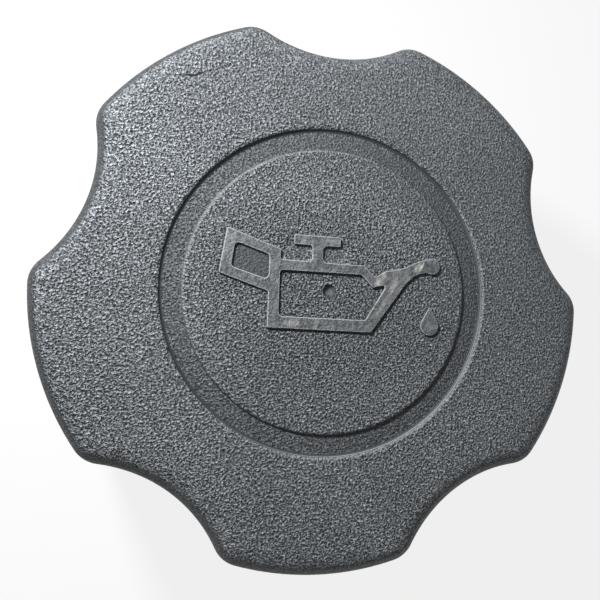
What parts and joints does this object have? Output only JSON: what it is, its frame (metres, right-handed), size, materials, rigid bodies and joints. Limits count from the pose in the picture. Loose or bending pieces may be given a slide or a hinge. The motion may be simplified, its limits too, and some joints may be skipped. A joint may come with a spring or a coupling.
{
  "type": "oil filler cap",
  "caption": "Screw-in engine oil filler cap with a lobed grip, a raised oil-can symbol, a hollow threaded spigot and a flat rubber sealing ring.",
  "frame": {"origin": "on the cap's axis, at the lower end of the spigot, which the cap stands on", "axes": "+Z along the axis, up through the knob's face; +Y the way the raised symbol reads upwards; +X towards the can's spout"},
  "size_m": [0.0646, 0.0629, 0.0303],
  "materials": {
    "grained_nylon": "moulded dark grey nylon, leather grain, matte with scuffed edges",
    "seal_rubber": "smooth black moulded rubber"
  },
  "bodies": {
    "root": {"cap_body": "grained_nylon", "seal_ring": "seal_rubber"}
  },
  "joints": []
}
